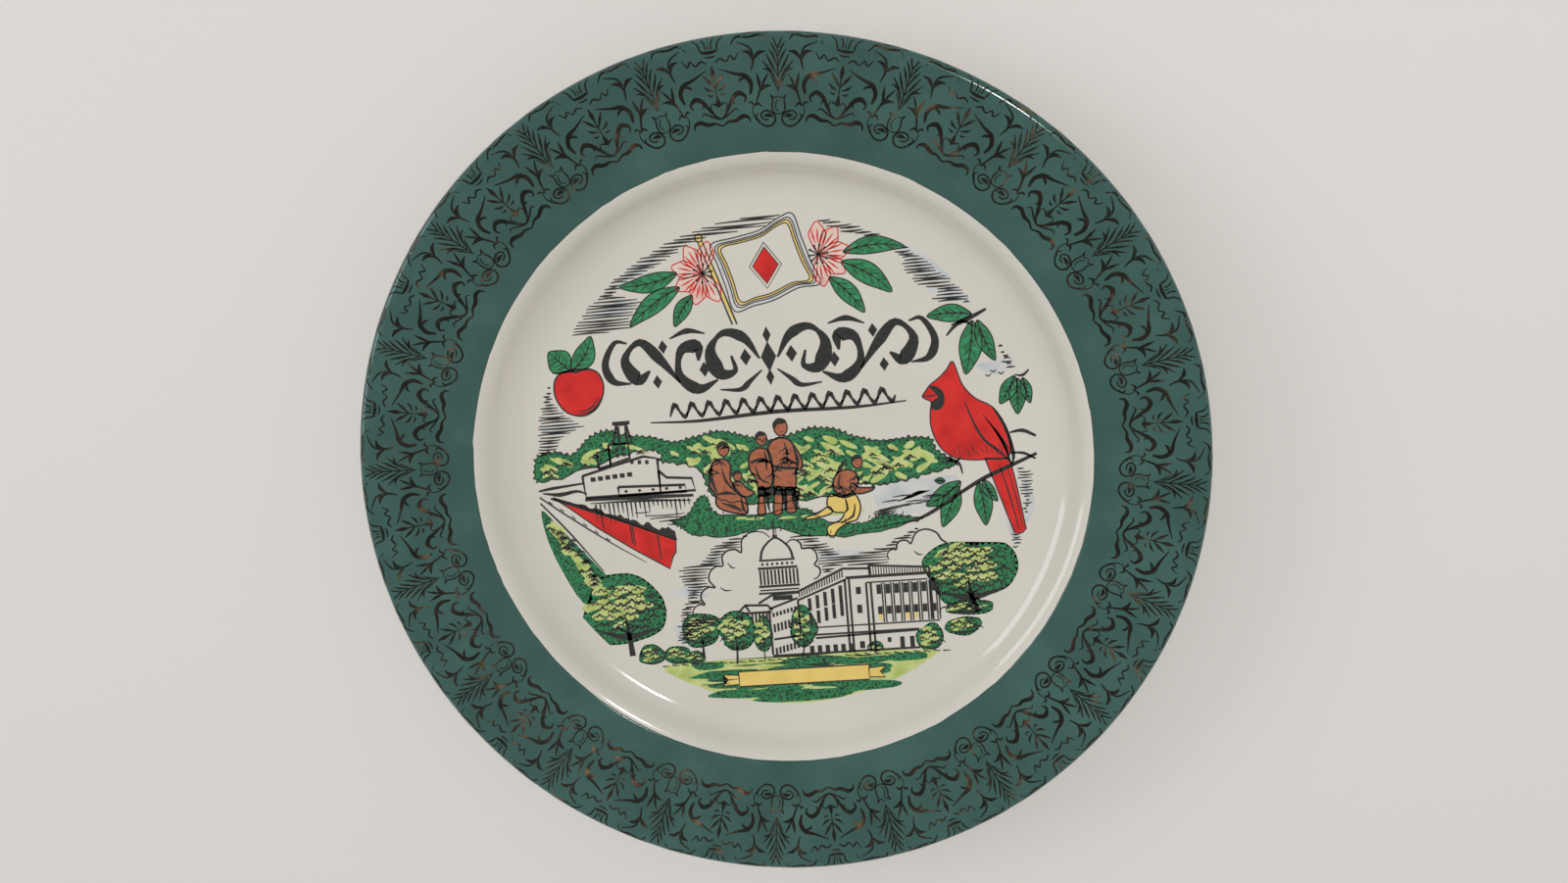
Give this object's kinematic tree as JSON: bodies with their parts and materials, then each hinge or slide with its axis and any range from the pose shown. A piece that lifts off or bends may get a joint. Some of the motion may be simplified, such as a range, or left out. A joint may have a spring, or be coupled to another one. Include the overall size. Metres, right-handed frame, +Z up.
{
  "type": "souvenir plate",
  "caption": "Round glazed earthenware plate with a foot ring, a green rim under a gold lace print, and a colour picture of a bird, hills and a domed hall in the well.",
  "frame": {"origin": "on the plate's axis, at the level that the foot ring stands on", "axes": "+Z up along the plate's axis, +Y towards the top of the picture, +X to its right"},
  "size_m": [0.2544, 0.2544, 0.0262],
  "materials": {
    "earthenware": "unglazed biscuit",
    "ivory_glaze": "glossy ivory glaze",
    "green_enamel": "glossy green enamel",
    "gold_lace": "burnished dark gold",
    "black_ink": "fired print",
    "red_ink": "fired print",
    "rose_ink": "fired print",
    "yellow_ink": "fired print",
    "brown_ink": "fired print",
    "dark_green_ink": "fired print",
    "light_green_ink": "fired print",
    "blue_grey_ink": "fired print"
  },
  "bodies": {
    "root": {"plate_body": "earthenware", "face_glaze": "ivory_glaze", "base_glaze": "ivory_glaze", "rim_enamel": "green_enamel", "rim_gold_lace": "gold_lace", "key_print": "black_ink", "red_print": "red_ink", "rose_print": "rose_ink", "yellow_print": "yellow_ink", "brown_print": "brown_ink", "dark_green_print": "dark_green_ink", "light_green_print": "light_green_ink", "blue_grey_print": "blue_grey_ink"}
  },
  "joints": []
}
